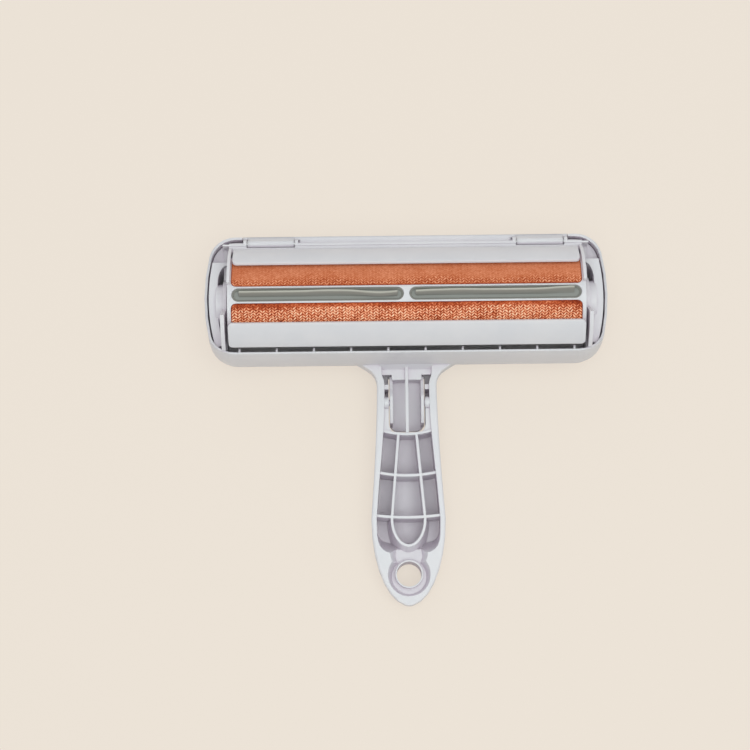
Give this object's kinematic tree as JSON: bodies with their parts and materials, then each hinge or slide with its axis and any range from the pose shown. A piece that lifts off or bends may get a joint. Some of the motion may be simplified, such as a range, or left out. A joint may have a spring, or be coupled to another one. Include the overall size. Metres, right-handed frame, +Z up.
{
  "type": "lint roller",
  "caption": "T-shaped reusable lint roller: rocking slotted drum with pick-up cloth strips and rubber inserts, ribbed handle with a hanging hole, and a hinged waste lid with a release button.",
  "frame": {"origin": "centre of the object's box in plan, on the surface it rests on", "axes": "+X along the width of the head to the right, +Y from the handle's tip to the front of the head, +Z up out of the roller side, away from the lid"},
  "size_m": [0.1952, 0.1773, 0.0588],
  "materials": {
    "shell_plastic": "satin, cool white",
    "frame_plastic": "satin, cool white",
    "pick_up_cloth": "short directional pile, orange",
    "lining_pile": "short pile, orange",
    "blade_rubber": "matt grey rubber",
    "axle_steel": "bright drawn wire",
    "spring_steel": "spring wire"
  },
  "bodies": {
    "body": {"housing": "shell_plastic", "roller_frame": "frame_plastic", "front_cover": "shell_plastic", "rear_cover": "shell_plastic", "front_stripper": "lining_pile", "rear_stripper": "lining_pile", "left_axle": "axle_steel", "right_axle": "axle_steel", "left_hinge_pin": "axle_steel", "right_hinge_pin": "axle_steel"},
    "drum_body": {"drum": "shell_plastic", "left_end_cap": "frame_plastic", "right_end_cap": "frame_plastic", "front_cloth": "pick_up_cloth", "rear_cloth": "pick_up_cloth", "left_blade": "blade_rubber", "right_blade": "blade_rubber"},
    "lid_body": {"lid": "shell_plastic"},
    "button_body": {"button": "frame_plastic", "button_spring": "spring_steel"}
  },
  "joints": [
    {"name": "drum_rock", "type": "hinge", "parent": "body", "child": "drum_body", "pos_m": [0, 0.05545, 0.031], "axis": [1, 0, 0], "range_deg": [-23, 20]},
    {"name": "lid_hinge", "type": "hinge", "parent": "body", "child": "lid_body", "pos_m": [0, 0.08375, 0.04], "axis": [1, 0, 0], "range_deg": [0, 92]},
    {"name": "button_press", "type": "hinge", "parent": "body", "child": "button_body", "pos_m": [0, 0.00895, 0.019], "axis": [-1, 0, 0], "range_deg": [0, 8], "stiffness_Nm_per_rad": 0.1, "springref_deg": -3.44, "deforming": ["button_spring"]}
  ]
}
